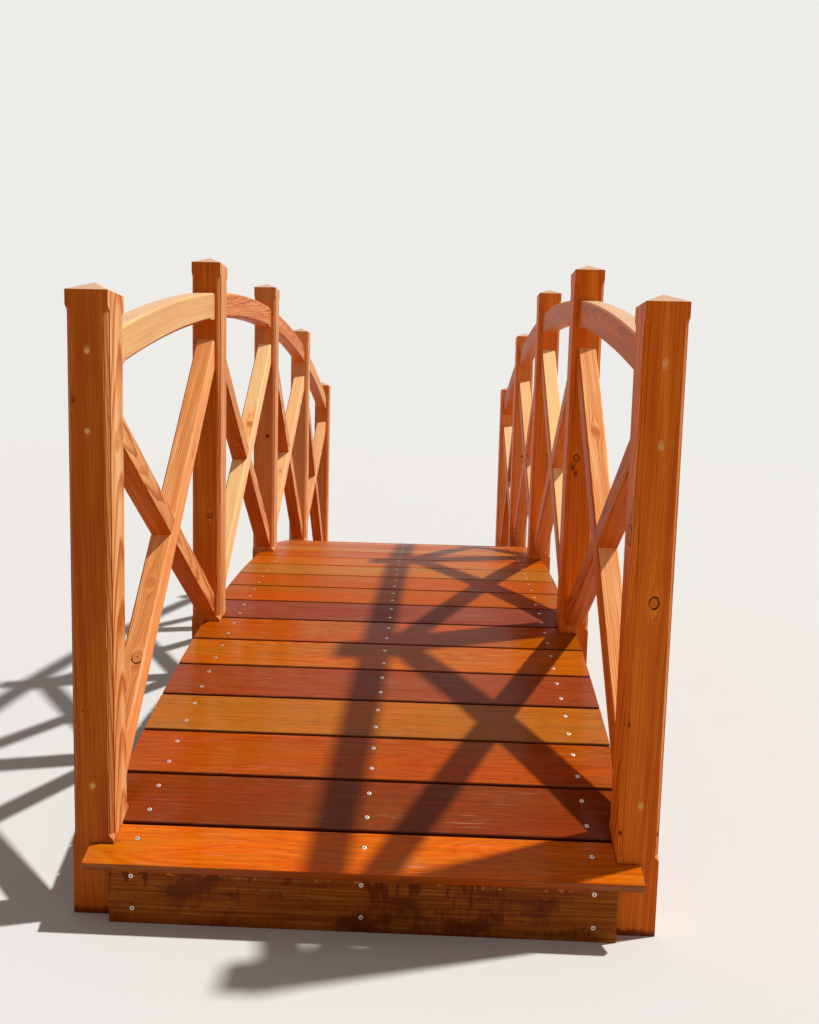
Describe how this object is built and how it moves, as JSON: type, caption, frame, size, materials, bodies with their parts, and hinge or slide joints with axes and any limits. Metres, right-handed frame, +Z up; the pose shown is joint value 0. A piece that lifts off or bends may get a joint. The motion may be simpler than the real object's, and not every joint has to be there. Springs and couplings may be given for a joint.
{
  "type": "arched wooden footbridge",
  "caption": "Arched timber garden footbridge: curved stringers, hardwood deck boards, pointed posts, bowed handrails and crossed braces.",
  "frame": {"origin": "on the ground under the crest of the arch, in the middle of the width and length", "axes": "+X across the walkway to the right, +Y along the walkway away from the near end, +Z up"},
  "size_m": [1.28, 3.7512, 1.685],
  "materials": {
    "stained_softwood": "orange-toned clear stain, satin, visible grain and knots",
    "oiled_hardwood": "oiled tropical hardwood, glossy, tone differs from board to board",
    "weathered_hardwood": "dull brown hardwood with water stains"
  },
  "bodies": {
    "root": {"left_post_1": "stained_softwood", "left_post_2": "stained_softwood", "left_post_3": "stained_softwood", "left_post_4": "stained_softwood", "left_post_5": "stained_softwood", "left_handrail_1": "stained_softwood", "left_rising_brace_1": "stained_softwood", "left_falling_brace_1": "stained_softwood", "left_handrail_2": "stained_softwood", "left_rising_brace_2": "stained_softwood", "left_falling_brace_2": "stained_softwood", "left_handrail_3": "stained_softwood", "left_rising_brace_3": "stained_softwood", "left_falling_brace_3": "stained_softwood", "left_handrail_4": "stained_softwood", "left_rising_brace_4": "stained_softwood", "left_falling_brace_4": "stained_softwood", "right_post_1": "stained_softwood", "right_post_2": "stained_softwood", "right_post_3": "stained_softwood", "right_post_4": "stained_softwood", "right_post_5": "stained_softwood", "right_handrail_1": "stained_softwood", "right_rising_brace_1": "stained_softwood", "right_falling_brace_1": "stained_softwood", "right_handrail_2": "stained_softwood", "right_rising_brace_2": "stained_softwood", "right_falling_brace_2": "stained_softwood", "right_handrail_3": "stained_softwood", "right_rising_brace_3": "stained_softwood", "right_falling_brace_3": "stained_softwood", "right_handrail_4": "stained_softwood", "right_rising_brace_4": "stained_softwood", "right_falling_brace_4": "stained_softwood", "deck_boards_1": "oiled_hardwood", "deck_boards_2": "oiled_hardwood", "deck_boards_3": "oiled_hardwood", "deck_boards_4": "oiled_hardwood", "left_stringer": "stained_softwood", "middle_stringer": "stained_softwood", "right_stringer": "stained_softwood", "near_nosing": "oiled_hardwood", "far_nosing": "oiled_hardwood", "near_fascia": "weathered_hardwood", "far_fascia": "weathered_hardwood"}
  },
  "joints": []
}
